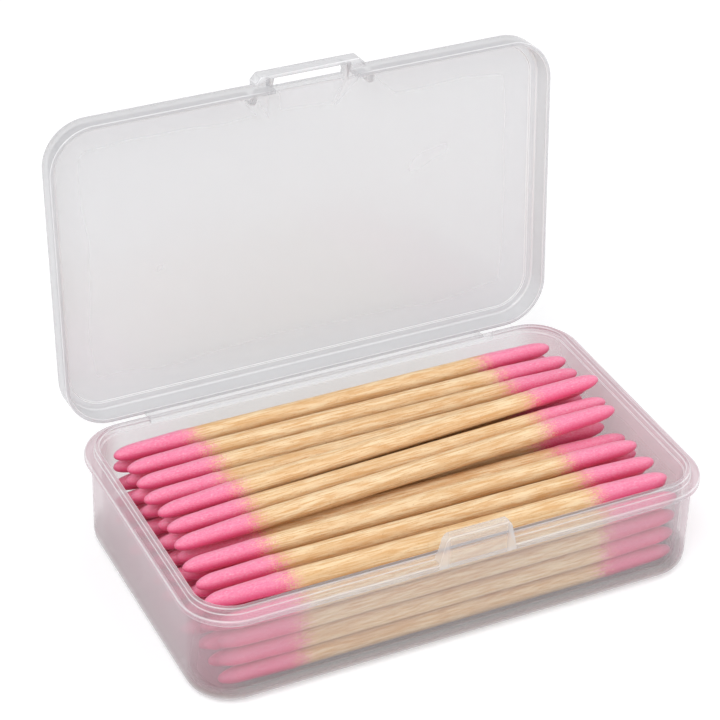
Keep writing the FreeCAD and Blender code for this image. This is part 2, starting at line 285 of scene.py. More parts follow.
TURN_POWER = 2.2
TURN_WHITE = 0.7
CLOUD_SCALE = 60.0
CLOUD_RANGE = (0.1, 1.0)
CLOUD_MILK = 0.03
CLOUD_ROUGHNESS = 0.06
PLASTIC_ROUGHNESS = 0.13
END_SHADE_DISTANCES = (6, 1)
END_SHADE_MILK = 0.16
FOOT_SHADE_HEIGHTS = (3.4, 1.6)
FOOT_SHADE_MILK = 0.27

# What the two tints of the clouds add to a plastic's milk in red, green and blue

CLOUD_TINTS = ((0, 0, 4), (10, 10, 13))

# Stage and light: half the floor's side, its level under the box, its glow, and the world's light
# on pieces and as it is seen

FLOOR_HALF = 3000.0
FLOOR_LEVEL = -0.3
FLOOR_COLOUR = (0.86, 0.86, 0.87, 1)
FLOOR_GLOW = 0.3
WORLD_LIGHT = 0.6
WORLD_SEEN = 1.0
WHITE = (1, 1, 1, 1)

# Name, place, target, side length and power in watts of each lamp

LAMPS = [
    ("key_lamp", (-350, -260, 620), (0, 0, 15), 420, 2.1),
    ("side_lamp", (520, 60, 380), (0, 0, 20), 300, 0.7),
    ("front_lamp", (-60, -620, 160), (0, 0, 10), 360, 0.7),
]

# Camera

CAMERA_PLACE = (-146.28, -275.737, 244.489)
CAMERA_TARGET = (-1.61, 8.95, 29.87)
CAMERA_ROLL = 2.03
CAMERA_LENS = 125.71
SENSOR_WIDTH = 36
CLIP_START = 0.01


def paint(shown):
    """Return a colour, given as it shows on a screen from 0 to 255, as linear red, green, blue and 1.

    The numbers are those of the standard screen curve: shown / 12.92 for dark values, or else
    ((shown + 0.055) / 1.055) ^ 2.4.
    """
    shown = np.array(shown) / 255
    linear = np.where(shown <= 0.04045, shown / 12.92, ((shown + 0.055) / 1.055) ** 2.4)
    return (*linear.tolist(), 1.0)


# Node helpers


class Paintwork:
    """A new material with its Principled shader, and short calls that add and link nodes."""

    def __init__(self, name):
        self.material = bpy.data.materials.new(name)
        self.material.use_nodes = True
        self.tree = self.material.node_tree
        self.shader = self.tree.nodes["Principled BSDF"]

    def add(self, kind, **settings):
        """Return a new shader node with some settings."""
        node = self.tree.nodes.new("ShaderNode" + kind)
        for name, value in settings.items():
            setattr(node, name, value)
        return node

    def link(self, source, target):
        """Set an input to a number or a colour, or link it to an output."""
        if isinstance(source, (int, float, tuple)):
            target.default_value = source
        else:
            self.tree.links.new(source, target)

    def surface(self, name, source):
        """Set or link one of the Principled shader's inputs."""
        self.link(source, self.shader.inputs[name])

    def attribute(self, name):
        """Return the node that reads an attribute of the mesh."""
        return self.add("Attribute", attribute_name=name)

    def axes(self, vector):
        """Return the outputs X, Y and Z of a vector."""
        node = self.add("SeparateXYZ")
        self.link(vector, node.inputs["Vector"])
        return node.outputs

    def maths(self, operation, first, second=0.0):
        """Return the result of one operation on one or two values."""
        node = self.add("Math", operation=operation)
        self.link(first, node.inputs[0])
        self.link(second, node.inputs[1])
        return node.outputs[0]

    def times(self, first, second):
        """Return first * second."""
        return self.maths("MULTIPLY", first, second)

    def plus(self, first, second):
        """Return first + second."""
        return self.maths("ADD", first, second)

    def noise(self, vector, scale, detail, roughness):
        """Return a noise between 0 and 1 that is 0.5 on average."""
        node = self.add("TexNoise")
        self.link(vector, node.inputs["Vector"])
        self.link(scale, node.inputs["Scale"])
        self.link(detail, node.inputs["Detail"])
        self.link(roughness, node.inputs["Roughness"])
        return node.outputs["Fac"]

    def drawn_noise(self, vector, scales, detail, roughness):
        """Return a noise with a scale of its own along each axis."""
        node = self.add("Mapping")
        self.link(vector, node.inputs["Vector"])
        self.link(scales, node.inputs["Scale"])
        return self.noise(node.outputs["Vector"], 1.0, detail, roughness)

    def ramp(self, value, low, high):
        """Return 0 at low, 1 at high and a smooth step between them."""
        node = self.add("MapRange", interpolation_type="SMOOTHSTEP")
        self.link(value, node.inputs["Value"])
        self.link(low, node.inputs["From Min"])
        self.link(high, node.inputs["From Max"])
        return node.outputs["Result"]

    def mix(self, share, first, second):
        """Return (1 - share) * first + share * second, as colours."""
        node = self.add("Mix", data_type="RGBA")
        self.link(share, node.inputs["Factor"])
        self.link(first, node.inputs["A"])
        self.link(second, node.inputs["B"])
        return node.outputs["Result"]

    def layer(self, colour, pattern, low, high, share, over):
        """Return a colour with another one over it, by its share, where a pattern rises from low to high."""
        return self.mix(self.times(self.ramp(pattern, low, high), share), colour, paint(over))

    def bump(self, height, distance):
        """Return normals that lean as a height of some distance would make them."""
        node = self.add("Bump")
        self.link(distance, node.inputs["Distance"])
        self.link(BUMP_STRENGTH, node.inputs["Strength"])
        self.link(height, node.inputs["Height"])
        return node.outputs["Normal"]


# Materials


def wood_colour(p, place, fibres, grains):
    """Two tans in fibres, long darker streaks, a share of each stick's own shade, and brown pores."""
    own = p.add("TexWhiteNoise", noise_dimensions="1D")
    p.link(p.attribute("swab_number").outputs["Fac"], own.inputs["W"])
    streaks = p.drawn_noise(place, STREAK_SCALES, detail=1.0, roughness=0.5)
    colour = p.layer(paint(WOOD), fibres, *PALE_FIBRES)
    colour = p.layer(colour, streaks, *DARK_STREAKS)
    colour = p.mix(p.times(own.outputs["Value"], OWN_SHARE), colour, paint(OWN_SHADE))
    return p.layer(colour, grains, *PORES)


def cotton_colour(p, fibres, grains):
    """Two pinks in grains, with pale fibres and dots, and painted shade of a deeper pink where it faces down.
    """
    colour = p.layer(paint(COTTON), grains, *COTTON_GRAIN)
    colour = p.layer(colour, fibres, *COTTON_FIBRES)
    colour = p.layer(colour, grains, *COTTON_DOTS)
    # Painted shade: a deeper pink where the cotton faces down
    upward = p.axes(p.add("TexCoord").outputs["Normal"])["Z"]
    return p.mix(p.ramp(upward, *LIT_FROM_ABOVE), paint(COTTON_PAINTED_SHADE), colour)


def swab_material(name, cotton):
    """Wood with fine straight grain, dyed pink towards its ends; cotton is felted, with painted shade of a
    deeper pink below.
    """
    p = Paintwork(name)
    place = p.attribute("swab_place").outputs["Vector"]
    fibres = p.drawn_noise(place, FIBRE_SCALES, detail=2.0, roughness=0.6)
    grains = p.drawn_noise(place, GRAIN_SCALES, detail=2.0, roughness=0.6)
    specks = p.drawn_noise(place, SPECK_SCALES, detail=1.0, roughness=0.6)

    along = p.maths("ABSOLUTE", p.axes(place)["X"])
    ragged = p.times(p.maths("SUBTRACT", fibres, 0.5), RAGGED_REACH)
    dots = p.times(p.maths("SUBTRACT", specks, 0.5), SPECK_REACH)
    hem = SWAB_LENGTH / 2 - TIP_LENGTH
    dyed = p.ramp(p.plus(along, p.plus(ragged, dots)), hem + FADE[0], hem + FADE[1])
    if cotton:
        p.surface("Base Color", p.mix(dyed, paint(COTTON_AT_HEM), cotton_colour(p, fibres, grains)))
        p.surface("Roughness", p.plus(p.times(fibres, FIBRE_ROUGHNESS), COTTON_ROUGHNESS))
        p.surface("Normal", p.bump(grains, COTTON_BUMP))
        p.surface("Specular IOR Level", 0.5)
        p.surface("Sheen Weight", 0.2)
        p.surface("Sheen Roughness", 0.5)
    else:
        p.surface("Base Color", p.mix(dyed, wood_colour(p, place, fibres, grains), paint(DYED_WOOD)))
        p.surface("Roughness", p.plus(p.times(fibres, FIBRE_ROUGHNESS), WOOD_ROUGHNESS))
        p.surface("Normal", p.bump(fibres, WOOD_BUMP))
        p.surface("Specular IOR Level", 0.3)
    return p.material


def plastic_material(name, clear, turn, line, milk, box=False):
    """Clear moulded plastic: see-through face on, milky where it turns away, with a painted white highlight
    along its rounded edges.

    The opacity is clear + turn * facing ^ TURN_POWER + line * painted_edge_highlight_and_milk, and a little
    more in soft clouds.
    The box's ends carry painted shade tinted pink by the swabs, and its foot a darker painted shade.
    """
    p = Paintwork(name)
    place = p.add("TexCoord").outputs["Object"]
    cloud = p.noise(place, CLOUD_SCALE, detail=1.0, roughness=0.5)
    patch = p.ramp(cloud, *CLOUD_RANGE)
    # Painted white highlight along rounded edges, and the catch's milk
    corner = p.attribute("painted_edge_highlight_and_milk").outputs["Fac"]
    facing = p.add("LayerWeight")
    p.link(0.5, facing.inputs["Blend"])
    turned = p.maths("POWER", facing.outputs["Facing"], TURN_POWER)
    opacity = p.plus(clear, p.times(turned, turn))
    opacity = p.plus(opacity, p.times(patch, CLOUD_MILK))
    opacity = p.plus(opacity, p.times(corner, line))
    dull, pale = [paint(milk + np.array(tint)) for tint in CLOUD_TINTS]
    colour = p.mix(patch, dull, pale)
    # Painted shade: pink-tinted at the tray's ends, darker at its foot
    if box:
        axes = p.axes(place)
        begins, full = [(BOX_LENGTH / 2 - WALL_INSET - distance) * MM for distance in END_SHADE_DISTANCES]
        end = p.ramp(p.maths("ABSOLUTE", axes["X"]), begins, full)
        foot = p.ramp(axes["Z"], *[height * MM for height in FOOT_SHADE_HEIGHTS])
        colour = p.mix(end, colour, paint(END_PAINTED_SHADE))
        colour = p.mix(foot, colour, paint(FOOT_PAINTED_SHADE))
        opacity = p.plus(opacity, p.times(end, END_SHADE_MILK))
        opacity = p.plus(opacity, p.times(foot, FOOT_SHADE_MILK))
    p.surface("Alpha", p.maths("MINIMUM", opacity, 1.0))
    # Painted white highlight along rounded edges, and white milk where the surface turns away
    white_highlight_and_milk = p.maths("MAXIMUM", corner, p.times(turned, TURN_WHITE))
    p.surface("Base Color", p.mix(white_highlight_and_milk, colour, paint(EDGE_HIGHLIGHT_WHITE)))
    p.surface("Roughness", p.plus(p.times(cloud, CLOUD_ROUGHNESS), PLASTIC_ROUGHNESS))
    p.surface("IOR", 1.49)
    p.surface("Specular IOR Level", 0.7)
    return p.material


# Mesh helpers


def mesh_piece(name, points, faces, material):
    """Make a smooth-shaded object from points in millimetres and faces."""
    mesh = bpy.data.meshes.new(name)
    mesh.from_pydata((points * MM).tolist(), [], faces)
    mesh.validate()
    mesh.polygons.foreach_set("use_smooth", np.ones(len(mesh.polygons), dtype=bool))
    mesh.materials.append(material)
    piece = bpy.data.objects.new(name, mesh)
    bpy.context.scene.collection.objects.link(piece)
    return piece


def add_attribute(piece, name, kind, field, values):
    """Give each point of a piece a value that its material reads."""
    layer = piece.data.attributes.new(name, kind, "POINT")
    layer.data.foreach_set(field, values.ravel().astype(np.float32))


def revolved_faces(rings, around, first):
    """Faces of rings that close in a point at each end; the two end points come last."""
    ring = np.arange(rings - 1)[:, None] * around
    here = np.arange(around)[None, :]
    beyond = (here + 1) % around
    quads = np.stack([ring + here, ring + beyond, ring + around + beyond, ring + around + here], -1)
    quads = quads.reshape(-1, 4) + first
    here, beyond = here[0], beyond[0]
    start = np.stack([np.full(around, rings * around), beyond, here], -1) + first
    last = (rings - 1) * around
    end = np.stack([np.full(around, rings * around + 1), last + here, last + beyond], -1) + first
    return quads.tolist() + start.tolist() + end.tolist()


def face_outward(mesh):
    """Turn every face of a closed shell outwards."""
    work = bmesh.new()
    work.from_mesh(mesh)
    bmesh.ops.recalc_face_normals(work, faces=work.faces)
    work.to_mesh(mesh)
    work.free()


def settle(piece):
    """Apply all modifiers, so that the mesh itself has the finished shape."""
    bpy.context.view_layer.update()
    graph = bpy.context.evaluated_depsgraph_get()
    made = bpy.data.meshes.new_from_object(piece.evaluated_get(graph), depsgraph=graph)
    piece.modifiers.clear()
    piece.data = made
    made.polygons.foreach_set("use_smooth", np.ones(len(made.polygons), dtype=bool))


# Places of the swabs


def layer_height(layer):
    """Z of the axes of a full layer, counted from the lowest."""
    return FLOOR_THICKNESS + TIP_DIAMETER / 2 + SWAB_CLEARANCE + layer * ROW_STEP


def lower_y(index):
    """Y of a swab of a full layer, counted from the back; the last one is next to the front wall."""
    front = WALL_INSET + FRONT_ROOM + TIP_DIAMETER / 2 - BOX_WIDTH / 2
    return front + (SWABS_IN_LAYER - 1 - index) * SWAB_PITCH


def slot_y(slot):
    """Y of a slot of the top layer, counted from the back."""
    return ROW_SHIFT + ((len(TOP_SWABS) - 1) / 2 - slot) * SWAB_PITCH


def lower_swabs(layer):
    """Middle point and direction of each swab of a full layer.

    With u from -1 to 1 across the layer, a swab is pushed along X by END_SCATTER (1 - u^4) times a sine of
    its number.
    """
    index = np.arange(SWABS_IN_LAYER)
    room = 1 - (2 * index / (SWABS_IN_LAYER - 1) - 1) ** 4
    along = END_SCATTER * room * np.sin(SCATTER_TURN * index + LAYER_TURN * layer)
    middle = np.stack([along, lower_y(index), np.full(SWABS_IN_LAYER, layer_height(layer))], 1)
    return middle, np.tile([1.0, 0.0, 0.0], (SWABS_IN_LAYER, 1))


def top_swab(entry):
    """Middle point and direction of a swab on top: lower beside a swab below, higher across one.

    With a the distance in Y from the nearest swab below, it lies sqrt(ROW_STEP^2 - a^2) above that one.
    """
    left_slot, right_slot, raised, pushed = entry
    front, back = sorted((slot_y(left_slot), slot_y(right_slot)))
    rows = lower_y(np.arange(SWABS_IN_LAYER))
    aside = np.maximum(np.maximum(front - rows, rows - back), 0).min()
    low = layer_height(LOWER_LAYERS - 1) + math.sqrt(ROW_STEP ** 2 - aside ** 2)
    left = np.array([-SWAB_LENGTH / 2, slot_y(left_slot), low])
    right = np.array([SWAB_LENGTH / 2, slot_y(right_slot), low + raised * ROW_STEP])
    middle = (left + right) / 2 + [pushed * END_SCATTER, 0, 0]
    direction = (right - left) / np.linalg.norm(right - left)
    return middle[None], direction[None]


# Surfaces of the swabs


def lumps(x, angle, draw):
    """Sum of the waves height * sin(turn * x + turns * angle + phase) over 3, with drawn phases."""
    phases = draw.uniform(0, 2 * math.pi, len(WAVES))
    waves = [height * np.sin(turn * x + turns * angle + phase)
             for (turn, turns, height), phase in zip(WAVES, phases)]
    return sum(waves) / 3


def stick_profile():
    """Stations along a stick and its radius there; past the hem it falls off, hidden in the tip."""
    half = SWAB_LENGTH / 2 - TIP_CORE
    x = np.linspace(-half, half, STICK_STATIONS)
    hidden = np.clip(np.abs(x) - (SWAB_LENGTH / 2 - TIP_LENGTH + TIP_FEATHER), 0, None)
    return x, STICK_DIAMETER / 2 - STICK_FALL * hidden


def tip_profile():
    """Stations and radius of a right tip, from inside the stick, out over the hem, to the nose.

    With s the distance from the end and p the nose's power, the wrap's radius is WRAP_RADIUS + WRAP_GROWTH s,
    times (1 - (1 - s / TIP_NOSE)^p)^(1 / p) within the nose. The hem falls to the stick in a half wave.
    """
    end = SWAB_LENGTH / 2
    core = STICK_DIAMETER / 2
    rise = np.linspace(0, 1, HEM_STATIONS)
    hem_s = TIP_LENGTH - rise * TIP_FEATHER
    wrap_s = np.linspace(TIP_LENGTH - TIP_FEATHER, TIP_NOSE, WRAP_STATIONS)[1:-1]
    nose_s = TIP_NOSE * (1 - np.sin(np.linspace(0, math.pi / 2, NOSE_STATIONS)[:-1]))
    s = np.concatenate([hem_s, wrap_s, nose_s])
    nose = (1 - np.clip(1 - s / TIP_NOSE, 0, 1) ** NOSE_POWER) ** (1 / NOSE_POWER)
    r = (WRAP_RADIUS + WRAP_GROWTH * s) * nose
    foot = core - HEM_BURIED
    r[:HEM_STATIONS] = foot + (r[HEM_STATIONS - 1] - foot) * (1 - np.cos(math.pi * rise)) / 2
    x = np.concatenate([end - TIP_LENGTH + np.array(INNER_PAST), end - s])
    return x, np.concatenate([core - np.array(INNER_BURIED), r])


def swab_surface(x, radius, around, roughness, middle, direction, draw, ends):
    """Points and own coordinates of a profile carried round a swab's axis."""
    angle = np.linspace(0, 2 * math.pi, around, endpoint=False)[None, :]
    x = x[:, None]
    swell = 1 + roughness * lumps(x, angle, draw)
    r = radius[:, None] * swell
    own = np.stack([x + 0 * angle, r * np.cos(angle), r * np.sin(angle)], -1).reshape(-1, 3)
    own = np.concatenate([own, [[ends[0], 0, 0], [ends[1], 0, 0]]])
    side = np.cross([0, 0, 1.0], direction)
    side /= np.linalg.norm(side)
    up = np.cross(direction, side)
    placed = middle + own[:, :1] * direction + own[:, 1:2] * side + own[:, 2:3] * up
    return placed, own


def swab_piece(name, parts, swabs, first_number, material, node):
    """One piece for a node: each given profile carried round each swab's axis."""
    points = []
    places = []
    numbers = []
    faces = []
    total = 0
    for number, (middle, direction) in enumerate(zip(*swabs), start=first_number):
        draw = np.random.default_rng(SEED_BASE + number)
        for x, radius, around, roughness, ends in parts:
            placed, own = swab_surface(x, radius, around, roughness, middle, direction, draw, ends)
            points.append(placed)
            places.append(own + [0, OWN_SPACING * number, 0])
            numbers.append(np.full(len(own), number))
            faces += revolved_faces(len(x), around, total)
            total += len(own)
    piece = mesh_piece(name, np.concatenate(points), faces, material)
    add_attribute(piece, "swab_place", "FLOAT_VECTOR", "vector", np.concatenate(places))
    add_attribute(piece, "swab_number", "FLOAT", "value", np.concatenate(numbers))
    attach(piece, "tray")
    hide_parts(node)
    return piece


def make_swabs(wood, cotton):
    """Two pieces for each full layer and each top swab: its wood, and its cotton at both ends."""
    stick_x, stick_r = stick_profile()
    tip_x, tip_r = tip_profile()
    end = SWAB_LENGTH / 2
    inside = tip_x[0] + INNER_CLOSE
    sticks = [(stick_x, stick_r, STICK_AROUND, STICK_LUMPS, (stick_x[0], stick_x[-1]))]
    tips = [
        (tip_x, tip_r, TIP_AROUND, TIP_LUMPS, (inside, end)),
        (-tip_x[::-1], tip_r[::-1], TIP_AROUND, TIP_LUMPS, (-end, -inside)),
    ]
    groups = [(f"layer_{layer + 1}", "sticks", lower_swabs(layer)) for layer in range(LOWER_LAYERS)]
    groups += [(f"top_swab_{place:02d}", "stick", top_swab(entry))
               for place, entry in enumerate(TOP_SWABS, start=1)]
    first = 1
    for name, stick_word, swabs in groups:
        stick = swab_piece(f"{name}_wood", sticks, swabs, first, wood, f"{name}_{stick_word}")
        tip = swab_piece(f"{name}_cotton", tips, swabs, first, cotton, f"{name}_tips")
        first += len(swabs[0])


# Mouldings


def long_side_stations(*marks):
    """X of the stations along the front or the back: even ones and the marks, short of the corners."""
    last = BOX_LENGTH / 2 - STATION_INSET
    even = np.linspace(-last, last, LONG_STATIONS)[1:-1]
    x = np.unique(np.concatenate([even, *marks]))
    return x[np.abs(x) < BOX_LENGTH / 2 - CORNER_RADIUS]


def rounded_outline(inset, front_x, back_x):
    """Points and inward directions round the box's outline drawn in by inset, anticlockwise from the front.

    A side runs straight between its corners; a corner is a quarter circle about the box's own corner centre.
    """
    radius = CORNER_RADIUS - inset
    half_x = BOX_LENGTH / 2 - CORNER_RADIUS
    half_y = BOX_WIDTH / 2 - CORNER_RADIUS
    turn = np.linspace(0, math.pi / 2, CORNER_STATIONS)
    side_y = np.linspace(-half_y, half_y, SHORT_STATIONS)[1:-1]
    spots = []
    inward = []
    sides = [
        (np.stack([front_x, np.full(len(front_x), -half_y - radius)], 1), (0, 1), (half_x, -half_y)),
        (np.stack([np.full(len(side_y), half_x + radius), side_y], 1), (-1, 0), (half_x, half_y)),
        (np.stack([back_x[::-1], np.full(len(back_x), half_y + radius)], 1), (0, -1), (-half_x, half_y)),
        (np.stack([np.full(len(side_y), -half_x - radius), side_y[::-1]], 1), (1, 0), (-half_x, -half_y)),
    ]
    for quarter, (side, direction, centre) in enumerate(sides):
        angle = turn + (quarter - 1) * math.pi / 2
        out = np.stack([np.cos(angle), np.sin(angle)], 1)
        spots += [side, centre + radius * out]
        inward += [np.tile(direction, (len(side), 1)), -out]
    return np.concatenate(spots), np.concatenate(inward)


def round_profile(corners, radii):
    """Replace each inner corner of each station's profile by a curve, marked by the strength of its painted
    white highlight.

    Between the points A and B, one radius before and after the corner P, the curve is
    (1 - t)^2 A + 2 t (1 - t) P + t^2 B.
    """
    made = [corners[:, :1]]
    highlight_share = [0.0]
    t = np.linspace(0, 1, ROUND_POINTS)[None, :, None]
    for index, radius in enumerate(radii, start=1):
        corner = corners[:, index:index + 1]
        before = corners[:, index - 1:index] - corner
        after = corners[:, index + 1:index + 2] - corner
        arms = []
        for arm in (before, after):
            length = np.linalg.norm(arm, axis=2, keepdims=True)
            arms.append(arm / length * np.minimum(radius, ROUND_SHARE * length))
        first, last = corner + arms[0], corner + arms[1]
        made.append((1 - t) ** 2 * first + 2 * t * (1 - t) * corner + t ** 2 * last)
        highlight_share += TIGHT_HIGHLIGHT if radius < TIGHT_ROUND else WIDE_HIGHLIGHT
    made.append(corners[:, -1:])
    return np.concatenate(made, 1), np.array(highlight_share + [0.0])


def carried_section(name, outline, section, material, milky=0.0):
    """A closed shell: a section carried round an outline, its corners rounded, with flat caps on both ends.

    Each corner of the section has its inset, its height and its rounding. Inset and height are one number, or
    one for each station. A point's attribute gives the strength of its painted white highlight, or milky
    (stations by points) where that is more.
    """
    spots, inward = outline
    corners = np.stack([np.stack([np.full(len(spots), inset), np.broadcast_to(height, len(spots))], 1)
                        for inset, height, radius in section], 1).astype(float)
    profile, highlight_share = round_profile(corners, [radius for inset, height, radius in section[1:-1]])
    flat = spots[:, None] + profile[..., :1] * inward[:, None]
    grid = np.concatenate([flat, profile[..., 1:]], -1)
    stations, count = grid.shape[:2]
    here = np.arange(stations)[:, None]
    beyond = (here + 1) % stations
    step = np.arange(count - 1)[None]
    quads = np.stack([here * count + step, beyond * count + step,
                      beyond * count + step + 1, here * count + step + 1], -1)
    cap = np.arange(stations) * count
    faces = quads.reshape(-1, 4).tolist() + [cap[::-1].tolist(), (cap + count - 1).tolist()]
    piece = mesh_piece(name, grid.reshape(-1, 3), faces, material)
    add_attribute(piece, "painted_edge_highlight_and_milk", "FLOAT", "value", np.maximum(np.tile(highlight_share, (stations, 1)), milky))
    face_outward(piece.data)
    return piece


def make_tray(plastic):
    """The tray's section carried round: foot, wall, flange, lip, inner wall and floor.

    The lip falls away along the hinge, and the catch is where the flange's outer band rises.
    """
    front_x = long_side_stations(CATCH_MIDDLE - CATCH_STATIONS, CATCH_MIDDLE + CATCH_STATIONS)
    back_x = long_side_stations(-NOTCH_STATIONS, NOTCH_STATIONS)
    outline = rounded_outline(0, front_x, back_x)
    spots, inward = outline
    at_front = inward[:, 1] > STRAIGHT
    from_catch = np.abs(spots[:, 0] - CATCH_MIDDLE)
    band = RIM_HEIGHT + np.interp(from_catch, CATCH_HALVES, CATCH_HEIGHTS) * at_front
    notched = (inward[:, 1] < -STRAIGHT) & (np.abs(spots[:, 0]) < NOTCH_LENGTH / 2)
    lip = np.where(notched, RIM_HEIGHT + NOTCH_LEFT, LIP_TOP)
    lip_inside = LIP_INSET + LIP_THICKNESS
    root = RIM_HEIGHT - FLANGE_THICKNESS
    section = [
        (CAP_INSET, 0, 0),
        (FLANGE_OVERHANG, 0, FOOT_ROUND),
        (FLANGE_OVERHANG, root, FLANGE_ROUND),
        (0, root, FLANGE_ROUND),
        (0, band, BAND_ROUND),
        (LIP_INSET, band, LIP_ROUND),
        (LIP_INSET, lip, LIP_ROUND),
        (lip_inside, lip, LIP_ROUND),
        (lip_inside, RIM_HEIGHT - SEAM, SEAM_ROUND),
        (WALL_INSET, RIM_HEIGHT - 2 * SEAM, SEAM_ROUND),
        (WALL_INSET, FLOOR_THICKNESS, FLOOR_ROUND),
        (CAP_INSET, FLOOR_THICKNESS, 0),
    ]
    catch = np.interp(from_catch, MILK_HALVES, CATCH_MILK) * at_front
    profile_points = ROUND_POINTS * (len(section) - 2) + 2
    band_points = np.isin(np.arange(profile_points), np.arange(*BAND_POINTS))
    piece = carried_section("tray_moulding", outline, section, plastic, np.outer(catch, band_points))
    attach(piece, "tray")
    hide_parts("tray")


# Lid


def prism(name, outline, low, high, axis, material, width=0.0):
    """A closed prism over an outline, from low to high along an axis, its edges rounded by a width."""
    count = len(outline)
    flat = np.array(outline, dtype=float)
    ends = [np.insert(flat, axis, level, axis=1) for level in (low, high)]
    here = np.arange(count)
    beyond = (here + 1) % count
    sides = np.stack([here, beyond, beyond + count, here + count], -1)
    faces = sides.tolist() + [here[::-1].tolist(), (here + count).tolist()]
    piece = mesh_piece(name, np.concatenate(ends), faces, material)
    face_outward(piece.data)
    if width:
        bevel = piece.modifiers.new("rounding", "BEVEL")
        bevel.width = width * MM
        bevel.segments = BEVEL_STEPS
        settle(piece)
    return piece


def combine(piece, other, operation):
    """Add a closed mesh to a piece or cut it away, and drop the other mesh."""
    cut = piece.modifiers.new("cut", "BOOLEAN")
    cut.operation = operation
    cut.solver = "EXACT"
    cut.object = other
    settle(piece)
    bpy.data.objects.remove(other)


def add_latch(piece, front, inside, ceiling, plastic):
    """Join the latch's block to a closed lid, and cut the catch's passage and the window out of both."""
    bar_inside = -BOX_WIDTH / 2 - CATCH_CLEARANCE
    bar_outside = bar_inside - LATCH_BAR
    left = CATCH_MIDDLE - LATCH_LENGTH / 2
    right = CATCH_MIDDLE + LATCH_LENGTH / 2
    block = [
        (left, front + LATCH_ROOT),
        (left, bar_outside + LATCH_CHAMFER),
        (left + LATCH_CHAMFER, bar_outside),
        (right - LATCH_CHAMFER, bar_outside),
        (right, bar_outside + LATCH_CHAMFER),
        (right, front + LATCH_ROOT),
    ]
    base = LID_DEPTH - LATCH_HEIGHT
    top = LID_DEPTH - 2 * OFF_PLANE
    combine(piece, prism("latch_block", block, base, top, Z_AXIS, plastic, LATCH_ROUND), "UNION")
    behind = LIP_INSET + CATCH_CLEARANCE - BOX_WIDTH / 2
    cuts = [
        ("passage", CATCH_FOOT / 2 + CATCH_CLEARANCE, front + inside, ceiling - OFF_PLANE),
        ("window", WINDOW_LENGTH / 2, behind, LID_DEPTH + CUT_BEYOND),
    ]
    for name, half, back, high in cuts:
        low_x, high_x = CATCH_MIDDLE - half, CATCH_MIDDLE + half
        outline = [(low_x, bar_inside), (high_x, bar_inside), (high_x, back), (low_x, back)]
        combine(piece, prism(name, outline, -CUT_BEYOND, high, Z_AXIS, plastic), "DIFFERENCE")


def add_ribs_and_nubs(piece, front, ceiling, plastic):
    """Join a rib on each side of the window and a nub beyond each end of the latch to a closed lid."""
    bar_inside = -BOX_WIDTH / 2 - CATCH_CLEARANCE
    bar_middle = bar_inside - LATCH_BAR / 2
    rib_foot = LID_DEPTH - LATCH_HEIGHT + RIB_LIFT
    buried = LID_DEPTH - PANEL_THICKNESS / 2
    rib = [
        (bar_middle, rib_foot),
        (bar_inside, rib_foot),
        (bar_inside + RIB_REACH, ceiling),
        (bar_inside + RIB_REACH, buried),
        (bar_middle, buried),
    ]
    root = front + NUB_ROOT
    tip = front + SKIRT_THICKNESS + NUB_REACH
    for side in (-1, 1):
        edge = CATCH_MIDDLE + side * WINDOW_LENGTH / 2
        low, high = sorted((edge + side * OFF_PLANE, edge + side * RIB_THICKNESS))
        combine(piece, prism("rib", rib, low, high, X_AXIS, plastic), "UNION")
        centre = CATCH_MIDDLE + side * (LATCH_LENGTH + NUB_WIDTH) / 2
        nub = [
            (centre - NUB_WIDTH / 2, root),
            (centre + NUB_WIDTH / 2, root),
            (centre + NUB_WIDTH / 2, tip - NUB_WIDTH / 3),
            (centre + NUB_WIDTH / 4, tip),
            (centre - NUB_WIDTH / 4, tip),
            (centre - NUB_WIDTH / 2, tip - NUB_WIDTH / 3),
        ]
        combine(piece, prism("nub", nub, ceiling - NUB_HEIGHT, buried, Z_AXIS, plastic, NUB_ROUND), "UNION")


def turn_open(mesh):
    """Turn a lid drawn closed, with heights over its rim, about the hinge line by the opening angle."""
    point = np.empty(3 * len(mesh.vertices))
    mesh.vertices.foreach_get("co", point)
    x, y, z = point.reshape(-1, 3).T / MM
    angle = math.radians(OPENING_ANGLE)
    out = y - BOX_WIDTH / 2
    up = z + LID_RIM_GAP + HINGE_DROP
    y = BOX_WIDTH / 2 + out * math.cos(angle) + up * math.sin(angle)
    z = RIM_HEIGHT - HINGE_DROP - out * math.sin(angle) + up * math.cos(angle)
    mesh.vertices.foreach_set("co", (np.stack([x, y, z], 1) * MM).ravel())
    mesh.update()


def make_lid(plastic):
    """The lid's section carried round, drawn closed, with its latch, ribs and nubs, then turned open."""
    stations = long_side_stations()
    inside = SKIRT_THICKNESS + PANEL_BAND
    ceiling = LID_DEPTH - PANEL_THICKNESS
    section = [
        (CAP_INSET, LID_DEPTH, 0),
        (0, LID_DEPTH, LID_ROUND),
        (0, 0, RIM_ROUND),
        (SKIRT_THICKNESS, 0, RIM_INNER_ROUND),
        (SKIRT_THICKNESS, ceiling - PANEL_STEP, SKIRT_ROOT_ROUND),
        (inside, ceiling - PANEL_STEP, STEP_ROUND),
        (inside, ceiling, STEP_ROOT_ROUND),
        (CAP_INSET, ceiling, 0),
    ]
    piece = carried_section("lid_moulding", rounded_outline(LID_INSET, stations, stations), section, plastic)
    front = LID_INSET - BOX_WIDTH / 2
    add_latch(piece, front, inside, ceiling, plastic)
    add_ribs_and_nubs(piece, front, ceiling, plastic)
    turn_open(piece.data)
    piece.data.set_sharp_from_angle(angle=math.radians(SHARP_ANGLE))
    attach(piece, "lid")
    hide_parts("lid")


# Hinge


